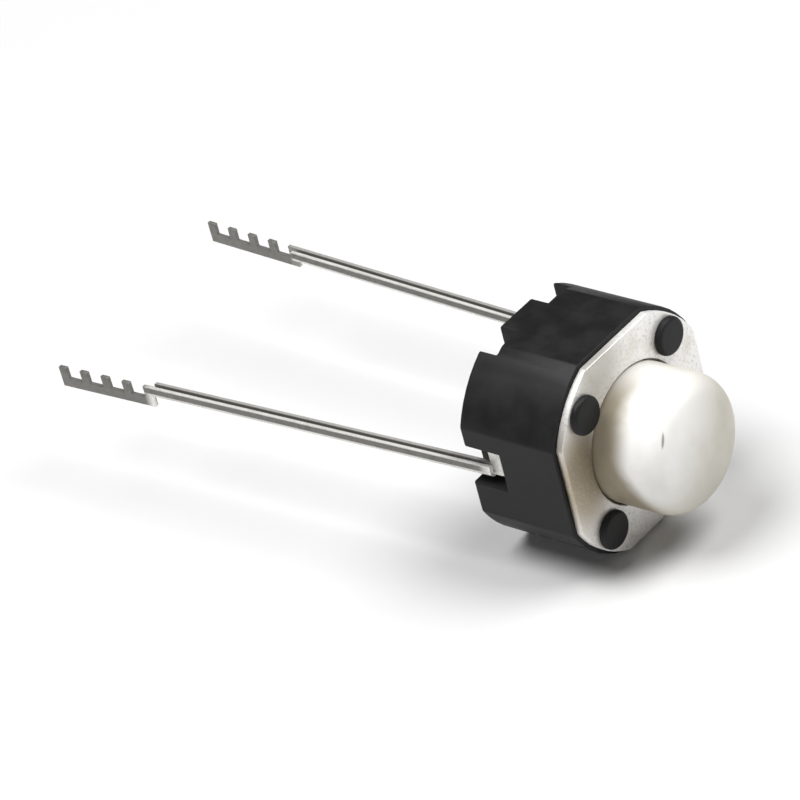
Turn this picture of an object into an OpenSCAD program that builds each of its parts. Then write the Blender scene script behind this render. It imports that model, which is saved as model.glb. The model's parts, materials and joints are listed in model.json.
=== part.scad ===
// Tactile pushbutton with a round moulded housing, a staked metal cover, a wide
// white stem and two long folded leads with comb-cut ends.
// Every piece is drawn upright, with the seat at z = 0, the stem's axis on +Z
// and the leads spread along Y, and is then laid down on its lower flat (+X).

/* [Housing] */
// Diameter of the round body, across the corners that carry the posts
body_d = 5.92; // [5.6:0.02:6.6]
// Depth of each of the four flats, cut into the round body
flat_cut = 0.26; // [0.2:0.01:0.3]
// Height from the seat to the rim under the cover
rim_h = 2.8; // [2.5:0.05:3.5]
// Height from the seat to the contact floor
floor_h = 0.95; // [0.9:0.05:1.1]
// Chamfer along the seat's edge
seat_chamfer = 0.05; // [0.02:0.01:0.2]
// Ledge of the round well beyond the stem
well_ledge = 0.15; // [0.1:0.01:0.2]
// Wall left outside the flange's guides
guide_wall = 0.5; // [0.45:0.01:0.6]

/* [Seat reliefs] */
// Width of each relief cut beside the middle of the upper and lower flats
relief_w = 0.84; // [0.4:0.02:0.9]
// Width of the foot left standing between two reliefs
foot_w = 1.2; // [1:0.05:1.4]
// Height of a relief above the seat
relief_h = 0.55; // [0.3:0.05:0.75]
// Depth of a relief from the flat
relief_depth = 0.6; // [0.4:0.05:0.65]

/* [Posts] */
// Distance from a post's centre to the round outline
post_margin = 0.62; // [0.58:0.01:0.66]
// Diameter of a post where it passes through the cover
post_d = 0.64; // [0.5:0.02:0.7]
// Diameter of a staked head
head_d = 0.96; // [0.8:0.02:1]
// Height of a staked head above the cover
head_h = 0.18; // [0.15:0.01:0.4]
// Rounding of a staked head's rim
head_round = 0.1; // [0.04:0.01:0.14]

/* [Cover] */
// Thickness of the cover's sheet
cover_t = 0.2; // [0.12:0.02:0.3]
// Inset of the cover from the housing's outline
cover_inset = 0.1; // [0.02:0.01:0.12]
// Radial clearance of the posts in the cover
post_clear = 0.03; // [0.02:0.01:0.05]

/* [Stem] */
// Gap between the stem and the staked heads
head_room = 0.16; // [0.1:0.01:0.3]
// Height of the crown of the stem above the cover
stem_out = 2; // [0.8:0.05:4]
// Radius of the crowned front face
crown_r = 4.2; // [3.5:0.1:12]
// Rounding of the front edge
crown_edge = 0.65; // [0.2:0.05:0.8]
// Radial running clearance of the stem in the cover
stem_clear = 0.05; // [0.02:0.01:0.08]
// Thickness of the flange under the cover
flange_t = 0.4; // [0.3:0.05:0.5]
// Distance of the ears from the posts' heads, seen from the front
ear_room = 0.22; // [0.15:0.01:0.4]
// Clearance of the flange in the housing
guide_clear = 0.05; // [0.03:0.01:0.08]
// Diameter of the plunger that meets the dome
plunger_d = 1.4; // [0.8:0.05:1.8]
// Travel of the stem
travel = 0.25; // [0.15:0.01:0.3]

/* [Dome] */
// Room around the dome in the well
dome_room = 0.15; // [0.1:0.01:0.2]
// Depth of the clip on each side of the dome
dome_clip = 0.4; // [0.3:0.02:0.5]
// Rise of the dome
dome_rise = 0.4; // [0.35:0.01:0.5]
// Thickness of the dome's sheet
dome_t = 0.06; // [0.04:0.01:0.08]
// Play between the dome and the plunger at rest
dome_play = 0.03; // [0.02:0.01:0.06]

/* [Leads] */
// Distance between the two leads at the seat
lead_pitch = 5; // [4.9:0.02:5.1]
// Length of the leads below the seat
lead_l = 12.9; // [4:0.1:16]
// Thickness of the lead strip
strip_t = 0.1; // [0.08:0.01:0.12]
// Width of a folded lead
lead_w = 0.32; // [0.28:0.01:0.4]
// Gap between the two layers of a folded lead
fold_gap = 0.08; // [0.02:0.01:0.1]
// Outward lean of the near lead, in degrees
near_lean = 2.3; // [0:0.1:6]
// Outward lean of the far lead, in degrees
far_lean = 1.3; // [0:0.1:6]
// Sag of the near lead, in degrees
near_sag = 0.7; // [-3:0.1:3]
// Sag of the far lead, in degrees
far_sag = -1.1; // [-3:0.1:3]
// Number of teeth cut into the end of each lead
teeth = 5; // [2:1:6]
// Distance from tooth to tooth
tooth_pitch = 0.69; // [0.5:0.01:0.75]
// Length of one tooth along the lead
tooth_l = 0.25; // [0.15:0.01:0.3]
// Depth of the gaps between the teeth
tooth_depth = 0.32; // [0.2:0.01:0.36]
// Width of the flat strip below the teeth
spine_w = 0.26; // [0.2:0.01:0.3]

/* [Terminals] */
// Outer radius of the bend where a strip leaves the housing
bend_r = 0.25; // [0.2:0.01:0.3]
// Length of unfolded strip below the bend
tab_l = 0.22; // [0.1:0.01:0.3]
// Width of the slot in the housing's flat around a strip
slot_w = 1.04; // [0.9:0.02:1.2]
// Room above a strip in that slot
slot_room = 0.1; // [0.05:0.01:0.2]
// Diameter of the centre contact's pad
pad_d = 1; // [0.6:0.05:1.2]
// Rim of the contact ring outside the dome
ring_rim = 0.05; // [0.02:0.01:0.08]
// Width of the ring under the dome's edge
ring_w = 0.5; // [0.3:0.02:0.5]
// Gap between the ring and the centre contact's strip
ring_gap = 0.3; // [0.2:0.02:0.35]

/* [Hidden] */
$fn = 64;
eps = 0.01;

body_r = body_d / 2;
flat = body_r - flat_cut;
flat_w = 2 * flat;
post_circle_d = body_d - 2 * post_margin;
post_xy = post_circle_d / 2 / sqrt(2);
cover_top = rim_h + cover_t;

// The stem fills the room between the heads, and the well, dome and ears follow it
stem_d = post_circle_d - head_d - 2 * head_room;
cover_hole_d = stem_d + 2 * stem_clear;
well_d = stem_d + 2 * well_ledge;
dome_d = well_d - 2 * dome_room;
dome_w = dome_d - 2 * dome_clip;
ear_l = flat_w - 2 * guide_wall - 2 * guide_clear;
ear_w = 2 * post_xy - head_d - 2 * ear_room;

// Stem, from the plunger's foot to the crown
flange_foot = rim_h - flange_t;
plunger_foot = floor_h + dome_rise + dome_play;
guide_floor = flange_foot - travel - guide_clear;
crown_top = cover_top + stem_out;
stem_r = stem_d / 2;
crown_z = crown_top - crown_r;
edge_x = stem_r - crown_edge;
edge_reach = crown_r - crown_edge;
edge_rise = sqrt(edge_reach * edge_reach - edge_x * edge_x);
edge_z = crown_z + edge_rise;

// Dome as a cap of a sphere
dome_r = dome_d / 2;
dome_ball = (dome_r * dome_r + dome_rise * dome_rise) / (2 * dome_rise);

// A strip is twice as wide as the lead that it is folded into
strip_w = 2 * lead_w;
lead_t = 2 * strip_t + fold_gap;
lead_y = lead_pitch / 2;
layer_y = lead_y - fold_gap / 2;
bend_y = layer_y - bend_r;
bend_z = floor_h - bend_r;
fold_z = bend_z - tab_l;
slot_y = bend_y;
slot_x = lead_w / 2 - strip_w / 2;
slot_h = floor_h + slot_room;
ring_d = dome_d + 2 * ring_rim;
comb_l = (teeth - 1) * tooth_pitch + tooth_l;
comb_w = tooth_depth + spine_w;

// Pose on the ground, on the lower flat, with the plan centred on the origin
function tip_y(lean) = lead_y + (fold_z + lead_l) * tan(lean) + lead_t / 2 / cos(lean);
near_y = max(flat, tip_y(near_lean));
far_y = max(flat, tip_y(far_lean));
centre_x = (crown_top - lead_l) / 2;
centre_y = (far_y - near_y) / 2;

// Lays an upright piece down on the ground
module laid() {
    translate([-centre_x, -centre_y, flat])
        rotate([0, 90, 0])
            children();
}

// Outline of the body, drawn in by an inset
module body_outline(inset = 0) {
    intersection() {
        circle(r = body_r - inset);
        square(flat_w - 2 * inset, center = true);
    }
}

// Places a child at each of the four posts
module at_posts() {
    for (sx = [-1, 1], sy = [-1, 1])
        translate([sx * post_xy, sy * post_xy, 0])
            children();
}

// Half profile of the body with a chamfered seat edge
module seat_profile(half) {
    polygon([
        [0, 0],
        [half - seat_chamfer, 0],
        [half, seat_chamfer],
        [half, rim_h],
        [0, rim_h]
    ]);
}

// Straight-sided block with the same chamfer on two opposite flats
module flat_block() {
    rotate([90, 0, 0])
        linear_extrude(body_d, center = true)
            union() {
                seat_profile(flat);
                mirror([1, 0])
                    seat_profile(flat);
            }
}

module body_blank() {
    intersection() {
        rotate_extrude()
            seat_profile(body_r);
        flat_block();
        rotate([0, 0, 90])
            flat_block();
    }
}

// Post through the cover with a rounded staked head
module staked_post() {
    translate([0, 0, rim_h - eps])
        cylinder(d = post_d, h = cover_t + 2 * eps);
    translate([0, 0, cover_top])
        rotate_extrude()
            union() {
                square([head_d / 2, head_h - head_round]);
                square([head_d / 2 - head_round, head_h]);
                translate([head_d / 2 - head_round, head_h - head_round])
                    intersection() {
                        circle(r = head_round);
                        square(head_round);
                    }
            }
}

// Plan of the flange: a disc with two crossed bars, grown by a clearance
module flange_plan(grow = 0) {
    union() {
        circle(d = min(well_d - 2 * guide_clear, ear_l) + 2 * grow);
        square([ear_l + 2 * grow, ear_w + 2 * grow], center = true);
        square([ear_w + 2 * grow, ear_l + 2 * grow], center = true);
    }
}

module housing() {
    color("#2b2b2c")
        laid()
            difference() {
                union() {
                    body_blank();
                    at_posts()
                        staked_post();
                }
                translate([0, 0, floor_h])
                    cylinder(d = well_d, h = rim_h);
                translate([0, 0, guide_floor])
                    linear_extrude(flange_t + travel + 2 * guide_clear)
                        flange_plan(guide_clear);
                for (side = [0, 180], sy = [-1, 1])
                    rotate([0, 0, side])
                        translate([flat - relief_depth, (sy * (foot_w + relief_w) - relief_w) / 2, -relief_h])
                            cube([2 * relief_depth, relief_w, 2 * relief_h]);
                for (side = [0, 1])
                    mirror([0, side, 0])
                        translate([slot_x - slot_w / 2, slot_y, -slot_h])
                            cube([slot_w, flat, 2 * slot_h]);
                centre_frame();
                outer_frame();
            }
}

module cover_plate() {
    color("#c9c7c2")
        laid()
            translate([0, 0, rim_h])
                linear_extrude(cover_t)
                    difference() {
                        body_outline(cover_inset);
                        circle(d = cover_hole_d);
                        at_posts()
                            circle(d = post_d + 2 * post_clear);
                    }
}

// Half profile of the stem above the flange, with a crowned front and a round edge
module stem_profile() {
    union() {
        translate([0, flange_foot])
            square([stem_r, edge_z - flange_foot]);
        translate([edge_x, edge_z])
            intersection() {
                circle(r = crown_edge);
                square(crown_edge);
            }
        intersection() {
            translate([0, crown_z])
                circle(r = crown_r, $fn = 256);
            polygon([
                [0, edge_z - eps],
                [edge_x, edge_z - eps],
                [edge_x, edge_z],
                [edge_x * (1 + 1 / edge_reach * crown_r), edge_z + edge_rise / edge_reach * crown_r],
                [0, crown_top + crown_r]
            ]);
        }
    }
}

module stem() {
    color("#f1efe9")
        laid()
            union() {
                rotate_extrude()
                    stem_profile();
                translate([0, 0, flange_foot])
                    linear_extrude(flange_t)
                        flange_plan();
                translate([0, 0, plunger_foot])
                    cylinder(d = plunger_d, h = flange_foot - plunger_foot + eps);
            }
}

module snap_dome() {
    color("#d8d4c8")
        laid()
            intersection() {
                translate([0, 0, floor_h + dome_rise - dome_ball])
                    difference() {
                        sphere(r = dome_ball);
                        sphere(r = dome_ball - dome_t);
                    }
                translate([0, 0, floor_h + dome_rise])
                    cube([dome_d + 1, dome_w, 2 * dome_rise], center = true);
            }
}

// Section of a folded lead: two layers joined by a round fold on the +X side
module fold_section() {
    fold_x = lead_w / 2 - lead_t / 2;
    difference() {
        union() {
            translate([-lead_w / 2, -lead_t / 2])
                square([lead_w / 2 + fold_x, lead_t]);
            translate([fold_x, 0])
                circle(d = lead_t);
        }
        translate([-lead_w, -fold_gap / 2])
            square([lead_w + fold_x, fold_gap]);
        translate([fold_x, 0])
            circle(d = fold_gap);
    }
}

// Lead that leans outward and sags from its root and ends square at the tip plane:
// folded over most of its run, and flat at its end, where teeth stand along one edge
module folded_lead(lean, sag) {
    run = (fold_z + lead_l) / cos(lean) / cos(sag);
    intersection() {
        translate([0, lead_y, fold_z])
            rotate([lean, 0, 0])
                rotate([0, -sag, 0])
                    difference() {
                        union() {
                            translate([0, 0, comb_l - run])
                                linear_extrude(run - comb_l + strip_t)
                                    fold_section();
                            translate([-lead_w / 2, lead_t / 2 - strip_t, -run - lead_t])
                                cube([comb_w, strip_t, comb_l + lead_t + eps]);
                        }
                        for (i = [0:teeth - 2])
                            translate([-lead_w / 2 - eps, 0, -run + i * tooth_pitch + tooth_l])
                                cube([tooth_depth + eps, lead_t, tooth_pitch - tooth_l]);
                    }
        translate([-lead_l / 2, lead_y - lead_l, -lead_l])
            cube([lead_l, 2 * lead_l, lead_l + bend_z]);
    }
}

// Strip from the contact plane through the slot, bent down and folded into a lead
module strip_and_lead(root_y, lean, sag) {
    x0 = lead_w / 2 - strip_w;
    translate([x0, root_y, floor_h - strip_t])
        cube([strip_w, bend_y - root_y + eps, strip_t]);
    translate([x0, bend_y, bend_z])
        rotate([90, 0, 90])
            linear_extrude(strip_w)
                intersection() {
                    difference() {
                        circle(r = bend_r);
                        circle(r = bend_r - strip_t);
                    }
                    square(bend_r);
                }
    translate([x0, layer_y - strip_t, fold_z])
        cube([strip_w, strip_t, tab_l + eps]);
    folded_lead(lean, sag);
}

// Centre contact: a round pad on a strip that leads to the near lead
module centre_frame() {
    mirror([0, 1, 0])
        union() {
            translate([0, 0, floor_h - strip_t])
                cylinder(d = pad_d, h = strip_t);
            strip_and_lead(0, near_lean, near_sag);
        }
}

// Outer contact: a ring under the dome's edge, open where the centre strip passes
module outer_frame() {
    union() {
        translate([0, 0, floor_h - strip_t])
            linear_extrude(strip_t)
                difference() {
                    circle(d = ring_d);
                    circle(d = ring_d - 2 * ring_w);
                    translate([slot_x, -ring_d / 2])
                        square([strip_w + 2 * ring_gap, ring_d], center = true);
                }
        strip_and_lead(ring_d / 2 - ring_w / 2, far_lean, far_sag);
    }
}

module centre_terminal() {
    color("#b9b7b0")
        laid()
            centre_frame();
}

module outer_terminal() {
    color("#b9b7b0")
        laid()
            outer_frame();
}

housing();
cover_plate();
stem();
snap_dome();
centre_terminal();
outer_terminal();
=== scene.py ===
"""Finishes a small tactile pushbutton: rounded edges, plated metal, moulded plastic and a plain studio."""

import json
import math

import bmesh
import bpy
from bpy.props import FloatProperty, FloatVectorProperty, IntProperty, PointerProperty
from mathutils import Matrix, Vector


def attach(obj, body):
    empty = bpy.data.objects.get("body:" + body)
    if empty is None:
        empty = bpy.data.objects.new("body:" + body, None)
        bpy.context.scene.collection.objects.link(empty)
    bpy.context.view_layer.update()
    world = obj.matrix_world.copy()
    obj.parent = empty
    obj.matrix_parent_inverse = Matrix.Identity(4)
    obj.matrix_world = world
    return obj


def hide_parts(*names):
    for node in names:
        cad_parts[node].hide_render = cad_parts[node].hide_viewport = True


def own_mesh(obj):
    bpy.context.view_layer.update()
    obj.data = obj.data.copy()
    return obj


bl_info = {
    "name": "Tactile Pushbutton",
    "version": (1, 0, 0),
    "blender": (4, 5, 0),
    "location": "3D View > Sidebar > Pushbutton",
    "description": "Finishes a lying tactile pushbutton and sets up a plain studio around it",
    "category": "Object",
}

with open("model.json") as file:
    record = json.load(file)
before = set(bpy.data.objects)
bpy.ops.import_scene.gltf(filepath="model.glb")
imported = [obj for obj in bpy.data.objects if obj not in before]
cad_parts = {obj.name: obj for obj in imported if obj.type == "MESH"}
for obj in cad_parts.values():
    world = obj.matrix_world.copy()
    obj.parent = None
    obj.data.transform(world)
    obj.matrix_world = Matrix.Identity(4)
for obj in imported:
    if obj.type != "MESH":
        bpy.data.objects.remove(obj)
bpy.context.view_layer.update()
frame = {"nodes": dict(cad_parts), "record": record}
MM = 0.001

# Steps and angles of the mesh work; lengths are in millimetres and angles in degrees
MERGE = 2e-4
STRIP_MERGE = 2e-3
FLAT_ANGLE = 0.4
CREASE_ANGLE = 32.0
BEVEL_STEPS = 2
CROWN_STEPS = 10

# Lead edges are rounded from this far below the root, except at corners with an edge under the least one
ROUNDING_DROP = 0.2
LEAST_EDGE = 0.05
CUT_SNAP = 1e-5

# Play in comparing heights and the lean of upright faces
SLACK = 1e-3

# Softboxes: place from the seat and diameter, in metres, and power in watts
SOFTBOXES = {
    "key": ((-0.07, -0.06, 0.24), 0.16, 0.6),
    "back": ((0.1, 0.09, 0.21), 0.14, 0.52),
    "front": ((0.12, -0.22, 0.1), 0.1, 0.1),
}

# Camera: width of the frame in pixels and of the sensor in millimetres, and the near clip in metres
FRAME_PIXELS = 800
SENSOR = 36.0
NEAR_CLIP = 0.005


def seat_mount():
    return next(m for m in frame["record"]["mounts"] if m["name"] == "seat")


def laid_turn():
    """Angle about Y that lays the upright switch down."""
    out = -Vector(seat_mount()["axis"])
    return math.pi / 2 - math.atan2(out.z, out.x)


# Upright pieces are in millimetres, with the seat at z = 0; LAID puts them where the switch lies
TURN = laid_turn()
LAID = Matrix.Translation(seat_mount()["pos_m"]) @ Matrix.Rotation(TURN, 4, "Y") @ Matrix.Scale(MM, 4)
UPRIGHT = LAID.inverted()
SEAT = LAID.translation.copy()


# Sizes and colours that a user may change


class StemSizes(bpy.types.PropertyGroup):
    diameter: FloatProperty(
        name="Diameter", description="Diameter of the white stem, in millimetres", default=3.4)
    rim: FloatProperty(
        name="Rim", description="Height of the housing's rim above the seat, in millimetres", default=2.8)
    top: FloatProperty(
        name="Top", description="Height of the crown above the seat, in millimetres", default=5.0)
    crown: FloatProperty(
        name="Crown", description="Radius of the crowned front face, in millimetres", default=4.2)
    edge: FloatProperty(
        name="Edge", description="Rounding of the front edge, in millimetres", default=0.65)
    flange: FloatProperty(
        name="Flange", description="Thickness of the hidden flange, in millimetres", default=0.4)
    flange_diameter: FloatProperty(
        name="Flange diameter", description="Diameter of the flange's disc, in millimetres", default=3.6)
    ear_width: FloatProperty(
        name="Ear width", description="Width of the flange's ears, in millimetres", default=1.909)
    ear_length: FloatProperty(
        name="Ear length", description="Length across two ears, in millimetres", default=4.3)
    plunger_diameter: FloatProperty(
        name="Plunger", description="Diameter of the plunger, in millimetres", default=1.4)
    plunger_foot: FloatProperty(
        name="Plunger foot", description="Height of the plunger's foot, in millimetres", default=1.38)
    turns: IntProperty(
        name="Steps", description="Steps of the lathe round the stem", default=144, min=24)


class DomeSizes(bpy.types.PropertyGroup):
    seat: FloatProperty(
        name="Seat", description="Height of the dome's edge above the seat, in millimetres", default=0.95)
    flat: FloatProperty(
        name="Flat", description="Share of its rise that the dome keeps when it is pressed", default=0.4,
        min=0.05, max=1.0, subtype="FACTOR")


class LeadSizes(bpy.types.PropertyGroup):
    pitch: FloatProperty(
        name="Pitch", description="Distance between the leads at the seat, in millimetres", default=5.0)
    root: FloatProperty(
        name="Root", description="Height at which the strip is folded, in millimetres", default=0.48)
    length: FloatProperty(
        name="Length", description="Length of the leads below the seat, in millimetres", default=12.9)
    comb: FloatProperty(
        name="Comb", description="Length of the toothed end, in millimetres", default=3.01)
    near_lean: FloatProperty(
        name="Near lean", description="Outward lean of the near lead, in degrees", default=2.3)
    near_sag: FloatProperty(
        name="Near sag", description="Sag of the near lead, in degrees", default=0.7)
    far_lean: FloatProperty(
        name="Far lean", description="Outward lean of the far lead, in degrees", default=1.3)
    far_sag: FloatProperty(
        name="Far sag", description="Sag of the far lead, in degrees", default=-1.1)


class EdgeSizes(bpy.types.PropertyGroup):
    housing: FloatProperty(
        name="Housing", description="Edge rounding of the moulded housing, in millimetres", default=0.04)
    cover: FloatProperty(
        name="Cover", description="Edge rounding of the stamped cover, in millimetres", default=0.035)
    dome: FloatProperty(
        name="Dome", description="Edge rounding of the dome's sheet, in millimetres", default=0.012)
    strip: FloatProperty(
        name="Strip", description="Edge rounding of the lead strip, in millimetres", default=0.014)


class FinishColours(bpy.types.PropertyGroup):
    moulding: FloatVectorProperty(
        name="Moulding", description="Black plastic", subtype="COLOR", default=(0.006, 0.006, 0.0065))
    moulding_bloom: FloatVectorProperty(
        name="Bloom", description="Paler bloom on the black plastic", subtype="COLOR",
        default=(0.012, 0.012, 0.0125))
    cover: FloatVectorProperty(
        name="Cover", description="Bright plating of the cover", subtype="COLOR",
        default=(0.96, 0.95, 0.93))
    cover_dull: FloatVectorProperty(
        name="Dull cover", description="Duller clouds in the plating", subtype="COLOR",
        default=(0.82, 0.80, 0.75))
    # Tan of the speckles, and of the reflection of the stem's shaded side painted on the near side of the
    # cover
    cover_tan: FloatVectorProperty(
        name="Tan cover", description="Tan bloom on one side of the cover", subtype="COLOR",
        default=(0.44, 0.38, 0.29))
    # A darker grey patch on the upper side of the cover
    cover_upper_grey: FloatVectorProperty(
        name="Cover film", description="Grey film on the upper side of the cover", subtype="COLOR",
        default=(0.33, 0.315, 0.27))
    stem: FloatVectorProperty(
        name="Stem", description="White plastic", subtype="COLOR", default=(0.93, 0.925, 0.90))
    # Warmer tone of the clouds in the white plastic, and the painted shade on the stem's far and lower
    # sides
    stem_warm_and_shade: FloatVectorProperty(
        name="Warm stem", description="Warmer cloud in the white plastic", subtype="COLOR",
        default=(0.51, 0.48, 0.405))
    # Painted shade round the stem's foot, where it meets the cover, reaching further up on its lower side
    stem_foot_shade: FloatVectorProperty(
        name="Stem foot", description="Grimy ring where the stem slides in the cover", subtype="COLOR",
        default=(0.30, 0.26, 0.19))
    gate_mark: FloatVectorProperty(
        name="Gate mark", description="Mark left by the mould's gate", subtype="COLOR",
        default=(0.36, 0.35, 0.31))
    dome: FloatVectorProperty(
        name="Dome", description="Bright spring sheet of the dome", subtype="COLOR",
        default=(0.75, 0.73, 0.68))
    dome_rub: FloatVectorProperty(
        name="Dome rub", description="Rubbed middle of the dome", subtype="COLOR",
        default=(0.48, 0.45, 0.40))
    tin: FloatVectorProperty(
        name="Tin", description="Tin plating of the leads", subtype="COLOR", default=(0.90, 0.89, 0.86))
    tin_dull: FloatVectorProperty(
        name="Dull tin", description="Duller tin", subtype="COLOR", default=(0.66, 0.64, 0.58))
    # Painted shade and dark reflections in the fold, along the outer faces and on the toothed end of the
    # leads
    tin_dark: FloatVectorProperty(
        name="Dark tin", description="Tarnish along the folds and teeth", subtype="COLOR",
        default=(0.06, 0.056, 0.047))
    floor: FloatVectorProperty(
        name="Floor", description="Studio floor", subtype="COLOR", default=(0.7, 0.7, 0.7))


class StudioSizes(bpy.types.PropertyGroup):
    azimuth: FloatProperty(
        name="Azimuth", description="Camera angle round the part, in degrees", default=47.4)
    elevation: FloatProperty(
        name="Elevation", description="Camera angle above the floor, in degrees", default=33.46)
    roll: FloatProperty(
        name="Roll", description="Camera roll, in degrees", default=-15.5)
    distance: FloatProperty(
        name="Distance", description="Camera distance from the part", default=0.12, unit="LENGTH")
    pixels: FloatProperty(
        name="Pixels", description="Pixels per millimetre at the part, in a frame 800 wide", default=42.37)
    aim_right: FloatProperty(
        name="Aim right", description="Middle of the view right of the seat, in millimetres",
        default=-3.273)
    aim_up: FloatProperty(
        name="Aim up", description="Middle of the view above the seat, in millimetres", default=0.115)
    floor_size: FloatProperty(
        name="Floor size", description="Side of the floor", default=2.0, unit="LENGTH")
    sky: FloatProperty(
        name="Sky", description="Strength of the white light from all round", default=0.02)


class PushbuttonSettings(bpy.types.PropertyGroup):
    stem: PointerProperty(type=StemSizes)
    dome: PointerProperty(type=DomeSizes)
    leads: PointerProperty(type=LeadSizes)
    edges: PointerProperty(type=EdgeSizes)
    colours: PointerProperty(type=FinishColours)
    studio: PointerProperty(type=StudioSizes)


def settings():
    return bpy.context.scene.pushbutton


# Shader wiring


class Wire:
    """A shader socket that takes part in arithmetic: each operator adds one Math node."""

    def __init__(self, finish, socket):
        self.finish = finish
        self.socket = socket

    def maths(self, operation, first, second):
        return self.finish.node("ShaderNodeMath", {"operation": operation}, {0: first, 1: second})

    def __add__(self, other):
        return self.maths("ADD", self, other)

    __radd__ = __add__

    def __sub__(self, other):
        return self.maths("SUBTRACT", self, other)

    def __rsub__(self, other):
        return self.maths("SUBTRACT", other, self)

    def __mul__(self, other):
        return self.maths("MULTIPLY", self, other)

    __rmul__ = __mul__

    def __abs__(self):
        return self.finish.node("ShaderNodeMath", {"operation": "ABSOLUTE"}, {0: self})

    def over(self, other):
        """The larger of two values."""
        return self.maths("MAXIMUM", self, other)


class Finish:
    """A material with one Principled shader, wired up node by node."""

    def __init__(self, name):
        self.material = bpy.data.materials.new(name)
        self.material.use_nodes = True
        self.tree = self.material.node_tree
        self.shader = next(n for n in self.tree.nodes if n.type == "BSDF_PRINCIPLED")

    def node(self, kind, options=None, sockets=None, out=0):
        """Adds a node, sets its options first and then the values or links of its sockets."""
        made = self.tree.nodes.new(kind)
        for key, value in (options or {}).items():
            setattr(made, key, value)
        for key, value in (sockets or {}).items():
            self.feed(made.inputs[key], value)
        return Wire(self, made.outputs[out])

    def feed(self, socket, value):
        if isinstance(value, Wire):
            self.tree.links.new(value.socket, socket)
        else:
            socket.default_value = value

    def set(self, **values):
        for key, value in values.items():
            self.feed(self.shader.inputs[key.replace("_", " ")], value)

    def upright(self):
        """Object coordinates in upright millimetres."""
        coords = self.node("ShaderNodeTexCoord", out="Object")
        return self.node("ShaderNodeMapping", {"vector_type": "POINT"}, {
            "Vector": coords, "Location": UPRIGHT.translation, "Rotation": (0, -TURN, 0),
            "Scale": (1 / MM, 1 / MM, 1 / MM)})

    def stretched(self, where, stretch):
        return self.node("ShaderNodeVectorMath", {"operation": "MULTIPLY"}, {0: where, 1: stretch})

    def axes(self, where):
        """The three coordinates of a place."""
        split = self.node("ShaderNodeSeparateXYZ", None, {0: where}).socket.node
        return [Wire(self, socket) for socket in split.outputs]

    def noise(self, where, scale, detail=4.0, roughness=0.55):
        return self.node("ShaderNodeTexNoise", None, {
            "Vector": where, "Scale": scale, "Detail": detail, "Roughness": roughness})

    def ramp(self, value, low, high):
        """Stretches the part of a value between low and high over 0 to 1."""
        return self.node("ShaderNodeMapRange", {"interpolation_type": "SMOOTHSTEP"}, {
            "Value": value, "From Min": low, "From Max": high})

    def patch(self, where, centre, reach, soft=0.6, turn=0.0):
        """An oval patch, turned about the stem's axis: 1 in its middle and 0 from its edge outwards."""
        off = self.node("ShaderNodeMapping", {"vector_type": "TEXTURE"}, {
            "Vector": where, "Location": centre, "Rotation": (0, 0, math.radians(turn)), "Scale": reach})
        far = self.node("ShaderNodeVectorMath", {"operation": "LENGTH"}, {0: off}, out="Value")
        return self.ramp(far, 1.0, 1.0 - soft)

    def mix(self, share, first, second):
        return self.node("ShaderNodeMix", {"data_type": "RGBA"}, {
            "Factor": share, 6: first, 7: second}, out=2)

    def bump(self, height, depth, strength):
        """Relief of a depth in millimetres."""
        return self.node("ShaderNodeBump", None, {
            "Strength": strength, "Distance": depth * MM, "Height": height})


def rgba(colour):
    return (*colour, 1.0)


def moulded_black(colours):
    """Satin black moulding with faint paler clouds and a fine grain."""
    finish = Finish("moulded_black")
    where = finish.upright()
    cloud = finish.ramp(finish.noise(where, scale=1.6), low=0.35, high=0.7)
    grain = finish.noise(where, scale=26.0, detail=3.0)
    finish.set(
        Base_Color=finish.mix(cloud, rgba(colours.moulding), rgba(colours.moulding_bloom)),
        Roughness=0.44 + 0.16 * grain + 0.06 * cloud,
        Specular_IOR_Level=0.3,
        Normal=finish.bump(grain, depth=0.004, strength=0.35),
    )
    return finish.material


def plated_cover(colours):
    """Speckled plating with a tan painted reflection of the stem's shaded side on the near side and a
    darker grey patch on the upper one.
    """
    finish = Finish("plated_cover")
    where = finish.upright()
    cloud = finish.ramp(finish.noise(where, scale=1.3), low=0.45, high=0.7)
    speckle = finish.noise(where, scale=11.0, detail=5.0, roughness=0.75)
    sparks = finish.ramp(speckle, low=0.52, high=0.62)
    # Painted reflection: a tan patch on the near side stands in for the stem's shaded side seen in the
    # plating
    painted_reflection = finish.patch(where, centre=(-0.15, -2.15, 2.9), reach=(2.0, 1.3, 2.0), soft=0.7)
    # A darker grey patch on the upper side of the cover
    upper_grey = finish.patch(where, centre=(-2.35, -0.8, 2.9), reach=(0.9, 1.3, 2.0), soft=0.8)
    plating = finish.mix(cloud, rgba(colours.cover), rgba(colours.cover_dull))
    plating = finish.mix(0.45 * sparks, plating, rgba(colours.cover_tan))
    plating = finish.mix(0.9 * upper_grey * (1.0 - 0.5 * speckle), plating, rgba(colours.cover_upper_grey))
    plating = finish.mix(painted_reflection * (1.0 - 0.3 * sparks), plating, rgba(colours.cover_tan))
    finish.set(
        Base_Color=plating,
        Metallic=0.35 + 0.55 * painted_reflection,
        Roughness=0.22 + 0.2 * speckle + 0.08 * painted_reflection,
        Normal=finish.bump(speckle, depth=0.012, strength=0.6),
    )
    return finish.material


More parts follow.
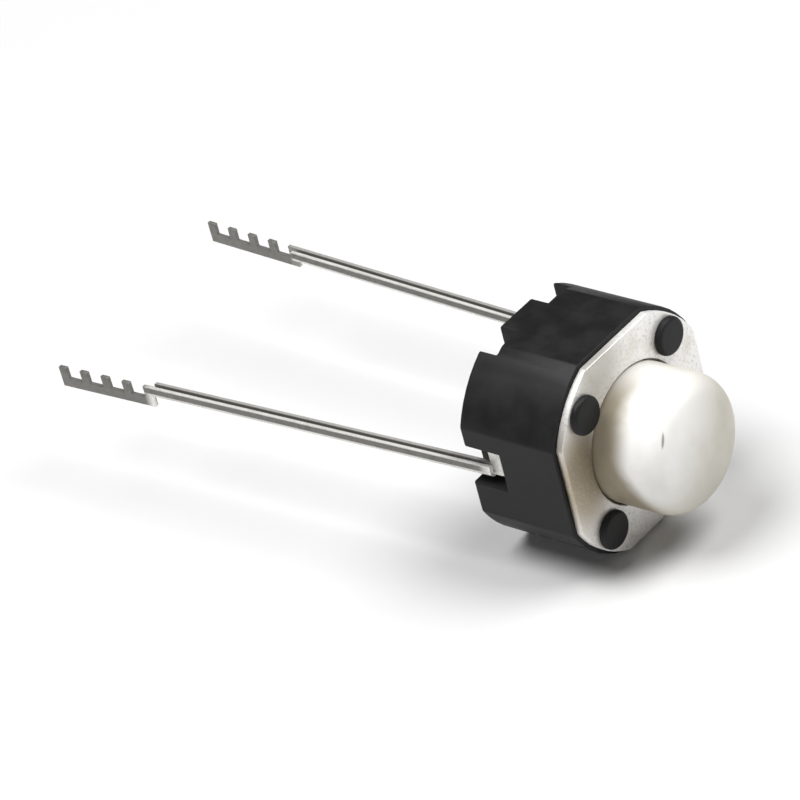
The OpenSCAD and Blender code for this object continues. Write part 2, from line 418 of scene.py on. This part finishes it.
def white_stem(colours):
    """White plastic with warmer clouds, painted shade on its far and lower sides and round its foot, and
    the mark of a gate.
    """
    finish = Finish("white_stem")
    where = finish.upright()
    x, y, z = finish.axes(where)
    cloud = finish.ramp(finish.noise(where, scale=0.8), low=0.4, high=0.7)
    grain = finish.noise(where, scale=30.0, detail=2.0)
    underside = finish.ramp(x, low=-0.6, high=1.0)
    near_side = finish.ramp(0.5 * x - 0.87 * y, low=-1.5, high=0.1)
    # Painted shade round the stem's foot on its near side, reaching further up underneath
    foot = finish.ramp(z - 0.8 * underside + 0.15 * cloud, low=4.1, high=3.4) * near_side
    # Painted shade: the far and lower sides of the stem turn warm grey
    painted_side_shade = finish.ramp(0.65 * x + 0.76 * y, low=-1.4, high=0.6)
    gate = finish.patch(where, centre=(-0.95, -1.07, 4.7), reach=(0.24, 0.035, 0.5), turn=-32.0)
    plastic = finish.mix(0.15 * cloud + 0.85 * painted_side_shade, rgba(colours.stem), rgba(colours.stem_warm_and_shade))
    plastic = finish.mix(foot, plastic, rgba(colours.stem_foot_shade))
    plastic = finish.mix(gate, plastic, rgba(colours.gate_mark))
    finish.set(
        Base_Color=plastic,
        Roughness=0.38 + 0.12 * grain,
        Normal=finish.bump(grain, depth=0.002, strength=0.25),
    )
    return finish.material


def sprung_sheet(colours):
    """Bright rolled sheet, rubbed where the plunger meets it."""
    finish = Finish("sprung_sheet")
    where = finish.upright()
    streaks = finish.noise(finish.stretched(where, (0.8, 14.0, 14.0)), scale=1.0)
    rub = finish.patch(where, centre=(0, 0, 1.35), reach=(0.75, 0.75, 1.0), soft=0.5)
    finish.set(
        Base_Color=finish.mix(0.7 * rub * streaks, rgba(colours.dome), rgba(colours.dome_rub)),
        Metallic=1.0,
        Roughness=0.18 + 0.2 * streaks + 0.1 * rub,
        Normal=finish.bump(streaks, depth=0.003, strength=0.3),
    )
    return finish.material


def tinned_strip(name, colours, leads, side, lean, sag):
    """Tin with painted shade in the fold and painted dark reflections along the outer faces and on the
    toothed end of a lead that leans and sags.
    """
    finish = Finish(name)
    where = finish.upright()
    x, y, z = finish.axes(where)
    run = leads.root - z
    comb_start = leads.root + leads.length - leads.comb
    width = x - math.tan(math.radians(sag)) * run
    across = y - side * leads.pitch / 2 - side * math.tan(math.radians(lean)) * run
    thickness = abs(across)
    streaks = finish.noise(finish.stretched(where, (9.0, 9.0, 0.6)), scale=1.0)
    spots = finish.noise(where, scale=9.0, detail=5.0, roughness=0.65)
    dull = finish.ramp(0.6 * spots + 0.4 * streaks, low=0.42, high=0.66)
    # Painted shade in the fold gap and on the far layer, painted dark reflections along the outer faces,
    # and the toothed end painted dark
    gap = 0.8 * finish.ramp(thickness, low=0.075, high=0.05)
    far_layer = 0.5 * finish.ramp(across, low=0.03, high=0.06)
    middle = finish.ramp(abs(width + 0.06), low=0.1, high=0.065)
    outer_face = finish.ramp(thickness, low=0.115, high=0.135)
    comb = 0.93 * finish.ramp(run, low=comb_start, high=comb_start + 0.3)
    free = finish.ramp(run, low=-0.1, high=0.3)
    dark = gap.over(far_layer).over(0.95 * middle * outer_face).over(comb)
    painted_shade_and_reflection = dark * free * (1.0 - 0.2 * streaks)
    plating = finish.mix(dull, rgba(colours.tin), rgba(colours.tin_dull))
    finish.set(
        Base_Color=finish.mix(painted_shade_and_reflection, plating, rgba(colours.tin_dark)),
        Metallic=0.3,
        Roughness=0.2 + 0.2 * dull + 0.15 * painted_shade_and_reflection,
        Normal=finish.bump(streaks + spots, depth=0.004, strength=0.3),
    )
    return finish.material


def studio_floor(colours):
    finish = Finish("studio_floor")
    grain = finish.noise(finish.upright(), scale=0.6, detail=2.0)
    finish.set(
        Base_Color=rgba(colours.floor),
        Roughness=0.7 + 0.1 * grain,
    )
    return finish.material


# Mesh work, in upright millimetres


def worked_copy(node, merge=MERGE):
    """A merged copy of a CAD node with its flat faces made whole."""
    work = bmesh.new()
    work.from_mesh(frame["nodes"][node].data)
    work.transform(UPRIGHT)
    bmesh.ops.remove_doubles(work, verts=work.verts, dist=merge)
    bmesh.ops.dissolve_degenerate(work, edges=work.edges, dist=merge)
    bmesh.ops.dissolve_limit(work, angle_limit=math.radians(FLAT_ANGLE), verts=work.verts,
                             edges=work.edges)
    return work


def sharp_edges(work, over):
    """The edges whose faces meet at more than an angle in degrees."""
    return [e for e in work.edges if e.is_manifold and e.calc_face_angle() > math.radians(over)]


def round_edges(work, width, sharp):
    bmesh.ops.bevel(work, geom=sharp, offset=width, offset_type="OFFSET", segments=BEVEL_STEPS,
                    profile=0.5, affect="EDGES", clamp_overlap=True, material=-1)


def put(name, work, material, node, body):
    """Lays a finished mesh down and lets it stand for a CAD node."""
    work.transform(LAID)
    mesh = bpy.data.meshes.new(name)
    work.to_mesh(mesh)
    work.free()
    mesh.materials.append(material)
    mesh.shade_smooth()
    mesh.set_sharp_from_angle(angle=math.radians(CREASE_ANGLE))
    piece = bpy.data.objects.new(name, mesh)
    bpy.context.scene.collection.objects.link(piece)
    flats = piece.modifiers.new("flat faces stay flat", "WEIGHTED_NORMAL")
    flats.keep_sharp = True
    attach(piece, body)
    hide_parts(node)
    return piece


class PUSHBUTTON_OT_housing(bpy.types.Operator):
    """Round the housing's edges and give it moulded black plastic"""

    bl_idname = "pushbutton.housing"
    bl_label = "Housing"

    def execute(self, context):
        sizes = settings()
        work = worked_copy("housing")
        round_edges(work, sizes.edges.housing, sharp_edges(work, over=16.0))
        put("moulded_housing", work, moulded_black(sizes.colours), "housing", "body")
        return {"FINISHED"}


class PUSHBUTTON_OT_cover(bpy.types.Operator):
    """Round the cover's stamped edges and give it satin plating"""

    bl_idname = "pushbutton.cover"
    bl_label = "Cover"

    def execute(self, context):
        sizes = settings()
        work = worked_copy("cover_plate")
        round_edges(work, sizes.edges.cover, sharp_edges(work, over=16.0))
        put("plated_cover", work, plated_cover(sizes.colours), "cover_plate", "body")
        return {"FINISHED"}


class PUSHBUTTON_OT_dome(bpy.types.Operator):
    """Ease the snap dome's edges, give it bright sprung sheet and its own mesh"""

    bl_idname = "pushbutton.dome"
    bl_label = "Dome"

    def execute(self, context):
        sizes = settings()
        work = worked_copy("snap_dome")
        round_edges(work, sizes.edges.dome, sharp_edges(work, over=40.0))
        dome = put("sprung_dome", work, sprung_sheet(sizes.colours), "snap_dome", "body")
        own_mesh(dome)
        return {"FINISHED"}


class PUSHBUTTON_OT_stem(bpy.types.Operator):
    """Turn the white stem on a lathe, with a crowned front and a round edge"""

    bl_idname = "pushbutton.stem"
    bl_label = "Stem"

    def execute(self, context):
        sizes = settings().stem
        work = bmesh.new()
        self.lathe(work, sizes)
        self.ears(work, sizes)
        put("white_stem", work, white_stem(settings().colours), "stem", "stem")
        return {"FINISHED"}

    def lathe(self, work, s):
        radius = s.diameter / 2
        edge_x = radius - s.edge
        crown_z = s.top - s.crown
        lean = math.asin(edge_x / (s.crown - s.edge))
        edge_z = crown_z + (s.crown - s.edge) * math.cos(lean)
        foot = s.rim - s.flange
        outline = [
            (0, s.plunger_foot), (s.plunger_diameter / 2, s.plunger_foot), (s.plunger_diameter / 2, foot),
            (s.flange_diameter / 2, foot), (s.flange_diameter / 2, s.rim), (radius, s.rim),
            (radius, edge_z),
        ]
        for i in range(1, CROWN_STEPS + 1):
            turn = math.pi / 2 + (lean - math.pi / 2) * i / CROWN_STEPS
            outline.append((edge_x + s.edge * math.sin(turn), edge_z + s.edge * math.cos(turn)))
        for i in range(1, CROWN_STEPS + 1):
            turn = lean * (1 - i / CROWN_STEPS)
            outline.append((s.crown * math.sin(turn), crown_z + s.crown * math.cos(turn)))
        verts = [work.verts.new((x, 0, z)) for x, z in outline]
        edges = [work.edges.new(pair) for pair in zip(verts, verts[1:])]
        bmesh.ops.spin(work, geom=verts + edges, cent=(0, 0, 0), axis=(0, 0, 1), dvec=(0, 0, 0),
                       angle=math.tau, steps=s.turns, use_merge=True)
        bmesh.ops.remove_doubles(work, verts=work.verts, dist=MERGE)
        bmesh.ops.recalc_face_normals(work, faces=work.faces)

    def ears(self, work, s):
        """Draws the flange's side out into four ears with flat ends."""
        half = s.ear_width / 2
        for out in (Vector((1, 0, 0)), Vector((0, 1, 0)), Vector((-1, 0, 0)), Vector((0, -1, 0))):
            across = Vector((-out.y, out.x, 0))
            side = [f for f in work.faces if self.on_flange(f, s) and f.normal.dot(out) > 0
                    and abs(f.calc_center_median().dot(across)) < half]
            drawn = bmesh.ops.extrude_face_region(work, geom=side)["geom"]
            bmesh.ops.delete(work, geom=side, context="FACES")
            for vert in (v for v in drawn if isinstance(v, bmesh.types.BMVert)):
                sideways = max(-half, min(half, vert.co.dot(across)))
                vert.co = out * s.ear_length / 2 + across * sideways + Vector((0, 0, vert.co.z))
        bmesh.ops.recalc_face_normals(work, faces=work.faces)

    def on_flange(self, face, s):
        """Whether a face is an upright one at half the flange's height."""
        height = face.calc_center_median().z - (s.rim - s.flange / 2)
        return abs(height) < SLACK and abs(face.normal.z) < SLACK


class PUSHBUTTON_OT_leads(bpy.types.Operator):
    """Ease the edges of both folded leads and give them tin plating"""

    bl_idname = "pushbutton.leads"
    bl_label = "Leads"

    def execute(self, context):
        leads = settings().leads
        self.lead("near_lead", "centre_terminal", -1, leads.near_lean, leads.near_sag)
        self.lead("far_lead", "outer_terminal", 1, leads.far_lean, leads.far_sag)
        return {"FINISHED"}

    def lead(self, name, node, side, lean, sag):
        sizes = settings()
        tin = tinned_strip("tinned_" + name, sizes.colours, sizes.leads, side, lean, sag)
        work = worked_copy(node, merge=STRIP_MERGE)
        free = self.free_edges(work, sizes.leads.root - ROUNDING_DROP)
        round_edges(work, sizes.edges.strip, free)
        put(name, work, tin, node, "body")

    def free_edges(self, work, start):
        """Cuts a lead across at a height, and gives the sharp edges below it that have room."""
        everything = work.verts[:] + work.edges[:] + work.faces[:]
        cut = bmesh.ops.bisect_plane(work, geom=everything, dist=CUT_SNAP, plane_co=(0, 0, start),
                                     plane_no=(0, 0, 1))["geom_cut"]
        ring = [v for v in cut if isinstance(v, bmesh.types.BMVert)]
        bmesh.ops.remove_doubles(work, verts=ring, dist=STRIP_MERGE)
        crowded = {v for v in work.verts if v.co.z < start - SLACK
                   and min(e.calc_length() for e in v.link_edges) < LEAST_EDGE}
        return [e for e in sharp_edges(work, over=30.0) if not crowded.intersection(e.verts)
                and max(v.co.z for v in e.verts) < start + SLACK]


class PUSHBUTTON_OT_studio(bpy.types.Operator):
    """Lay a pale floor, light it softly and set the camera"""

    bl_idname = "pushbutton.studio"
    bl_label = "Studio"

    def execute(self, context):
        sizes = settings().studio
        self.floor(sizes)
        self.lights(sizes)
        self.camera(sizes)
        return {"FINISHED"}

    def floor(self, s):
        work = bmesh.new()
        bmesh.ops.create_grid(work, x_segments=4, y_segments=4, size=s.floor_size / 2)
        mesh = bpy.data.meshes.new("floor")
        work.to_mesh(mesh)
        work.free()
        mesh.materials.append(studio_floor(settings().colours))
        floor = bpy.data.objects.new("floor", mesh)
        bpy.context.scene.collection.objects.link(floor)

    def lights(self, s):
        world = bpy.data.worlds.new("studio")
        world.use_nodes = True
        sky = next(n for n in world.node_tree.nodes if n.type == "BACKGROUND")
        sky.inputs["Color"].default_value = (1, 1, 1, 1)
        sky.inputs["Strength"].default_value = s.sky
        bpy.context.scene.world = world
        bpy.context.scene.view_settings.view_transform = "Standard"
        for name, (place, size, watts) in SOFTBOXES.items():
            self.softbox(name, place, size, watts)

    def softbox(self, name, place, size, watts):
        lamp = bpy.data.lights.new(name, "AREA")
        lamp.shape = "DISK"
        lamp.size = size
        lamp.energy = watts
        box = bpy.data.objects.new(name, lamp)
        box.location = SEAT + Vector(place)
        box.rotation_euler = (SEAT - box.location).to_track_quat("-Z", "Y").to_euler()
        bpy.context.scene.collection.objects.link(box)

    def camera(self, s):
        azimuth, elevation = math.radians(s.azimuth), math.radians(s.elevation)
        back = Vector((math.sin(azimuth) * math.cos(elevation),
                       -math.cos(azimuth) * math.cos(elevation), math.sin(elevation)))
        right = Vector((math.cos(azimuth), math.sin(azimuth), 0))
        up = back.cross(right)
        turn = math.radians(s.roll)
        right, up = (right * math.cos(turn) + up * math.sin(turn),
                     up * math.cos(turn) - right * math.sin(turn))
        aim = SEAT + (right * s.aim_right + up * s.aim_up) * MM
        lens = bpy.data.cameras.new("camera")
        lens.sensor_width = SENSOR
        lens.lens = SENSOR * s.pixels * s.distance / MM / FRAME_PIXELS
        lens.clip_start = NEAR_CLIP
        camera = bpy.data.objects.new("camera", lens)
        axes = Matrix((right, up, back)).transposed().to_4x4()
        camera.matrix_world = Matrix.Translation(aim + back * s.distance) @ axes
        bpy.context.scene.collection.objects.link(camera)
        bpy.context.scene.camera = camera


class PUSHBUTTON_PT_panel(bpy.types.Panel):
    """Lists the steps that finish the pushbutton"""

    bl_idname = "PUSHBUTTON_PT_panel"
    bl_label = "Pushbutton"
    bl_space_type = "VIEW_3D"
    bl_region_type = "UI"
    bl_category = "Pushbutton"

    def draw(self, context):
        for operator in OPERATORS:
            self.layout.operator(operator.bl_idname)


OPERATORS = (
    PUSHBUTTON_OT_housing,
    PUSHBUTTON_OT_cover,
    PUSHBUTTON_OT_dome,
    PUSHBUTTON_OT_stem,
    PUSHBUTTON_OT_leads,
    PUSHBUTTON_OT_studio,
)
SIZES = (StemSizes, DomeSizes, LeadSizes, EdgeSizes, FinishColours, StudioSizes, PushbuttonSettings)
CLASSES = (*SIZES, *OPERATORS, PUSHBUTTON_PT_panel)


def register():
    for cls in CLASSES:
        bpy.utils.register_class(cls)
    bpy.types.Scene.pushbutton = PointerProperty(type=PushbuttonSettings)


def unregister():
    del bpy.types.Scene.pushbutton
    for cls in reversed(CLASSES):
        bpy.utils.unregister_class(cls)


def main():
    register()
    bpy.ops.pushbutton.housing()
    bpy.ops.pushbutton.cover()
    bpy.ops.pushbutton.dome()
    bpy.ops.pushbutton.stem()
    bpy.ops.pushbutton.leads()
    bpy.ops.pushbutton.studio()
    bpy.context.view_layer.update()


if __name__ == "__main__":
    main()
